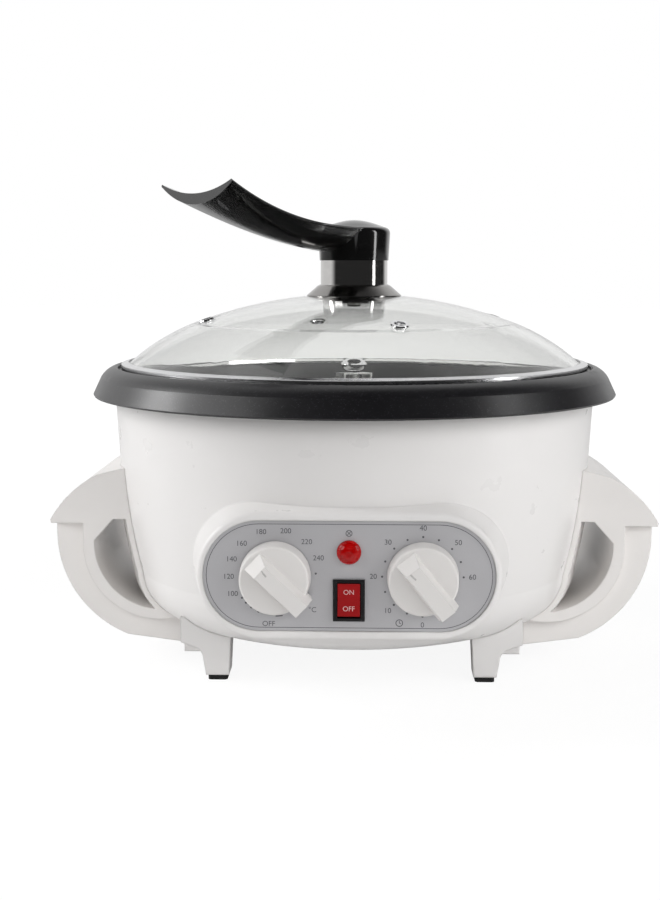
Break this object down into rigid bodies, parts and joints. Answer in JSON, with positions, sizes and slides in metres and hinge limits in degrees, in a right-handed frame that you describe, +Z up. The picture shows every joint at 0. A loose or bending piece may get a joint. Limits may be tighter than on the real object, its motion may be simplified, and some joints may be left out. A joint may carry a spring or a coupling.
{
  "type": "coffee bean roaster",
  "caption": "Countertop coffee bean roaster: round white bowl with a black pan, motor stirrer, glass lid with lever knob, side handles, dials, lamp and rocker switch.",
  "frame": {"origin": "on the surface that the feet stand on, under the middle of the object's box; the bowl's axis is 5.35 mm behind it, at y = 0.00535", "axes": "+Z up along the bowl's axis; the control panel faces -Y; +X runs from the temperature dial towards the timer dial"},
  "size_m": [0.3474, 0.3186, 0.2735],
  "materials": {
    "white_plastic": "glossy moulded plastic",
    "handle_plastic": "semi-gloss moulded plastic",
    "knob_plastic": "semi-gloss moulded plastic",
    "black_knob_plastic": "high gloss",
    "nonstick": "satin non-stick coating with fine sparkle",
    "panel_silver": "satin silver",
    "clear_glass": "clear tempered glass",
    "polished_steel": "polished",
    "brushed_steel": "brushed",
    "plated_steel": "zinc plated",
    "dark_collar": "mirror gloss",
    "aluminium_sheet": "rolled sheet",
    "element_steel": "heat-darkened",
    "bush_brass": "turned",
    "black_plastic": "matte",
    "red_plastic": "glossy",
    "red_lens": "glossy lens",
    "black_rubber": "matte",
    "soft_washer": "matte",
    "grey_plastic": "matte"
  },
  "bodies": {
    "base": {"housing_shell": "white_plastic", "bottom_cover": "grey_plastic", "cover_screws": "plated_steel", "left_handle": "handle_plastic", "right_handle": "handle_plastic", "handle_screws": "plated_steel", "left_leg_frame": "white_plastic", "right_leg_frame": "white_plastic", "leg_screws": "plated_steel", "foot_pad_front_left": "black_rubber", "foot_pad_front_right": "black_rubber", "foot_pad_rear_left": "black_rubber", "foot_pad_rear_right": "black_rubber", "roasting_pan": "nonstick", "shaft_bush": "bush_brass", "heat_shield": "aluminium_sheet", "shield_screws": "plated_steel", "heating_element": "element_steel", "element_clips": "plated_steel", "control_plate": "panel_silver", "thermostat_body": "black_plastic", "timer_body": "grey_plastic", "control_nuts": "plated_steel", "rocker_frame": "black_plastic", "lamp_lens": "red_lens", "lamp_body": "black_plastic", "motor_bracket": "plated_steel", "gearbox": "plated_steel", "motor_can": "plated_steel", "motor_screws": "plated_steel", "terminal_block": "grey_plastic", "cord_gland": "black_plastic"},
    "lid": {"lid_glass": "clear_glass", "lid_band": "polished_steel", "lid_vents": "polished_steel", "lid_flange": "black_knob_plastic", "lid_collar": "dark_collar", "lid_handle": "black_knob_plastic", "lid_screw": "plated_steel", "lid_washer": "soft_washer"},
    "stirrer": {"drive_shaft": "brushed_steel", "stirrer_bracket": "brushed_steel", "stirrer_blades": "brushed_steel", "blade_rivets": "polished_steel", "stirrer_knob": "polished_steel"},
    "temperature_dial": {"temperature_knob": "knob_plastic", "thermostat_shaft": "plated_steel"},
    "timer_dial": {"timer_knob": "knob_plastic", "timer_shaft": "plated_steel"},
    "rocker": {"rocker_button": "red_plastic"}
  },
  "joints": [
    {"name": "lid_lift", "type": "slide", "parent": "base", "child": "lid", "axis": [0, 0, 1], "range_m": [0, 0.12]},
    {"name": "stirrer_spin", "type": "hinge", "parent": "base", "child": "stirrer", "pos_m": [0, 0.00535, 0.1], "axis": [0, 0, 1], "continuous": true},
    {"name": "temperature_knob_turn", "type": "hinge", "parent": "base", "child": "temperature_dial", "pos_m": [-0.037, -0.14465, 0.0744], "axis": [0, 1, 0], "range_deg": [-129.6, 132.4]},
    {"name": "timer_knob_turn", "type": "hinge", "parent": "base", "child": "timer_dial", "pos_m": [0.037, -0.14465, 0.0744], "axis": [0, 1, 0], "range_deg": [-141.5, 128.5]},
    {"name": "rocker_press", "type": "hinge", "parent": "base", "child": "rocker", "pos_m": [0, -0.13825, 0.0622], "axis": [1, 0, 0], "range_deg": [0, 20]}
  ]
}
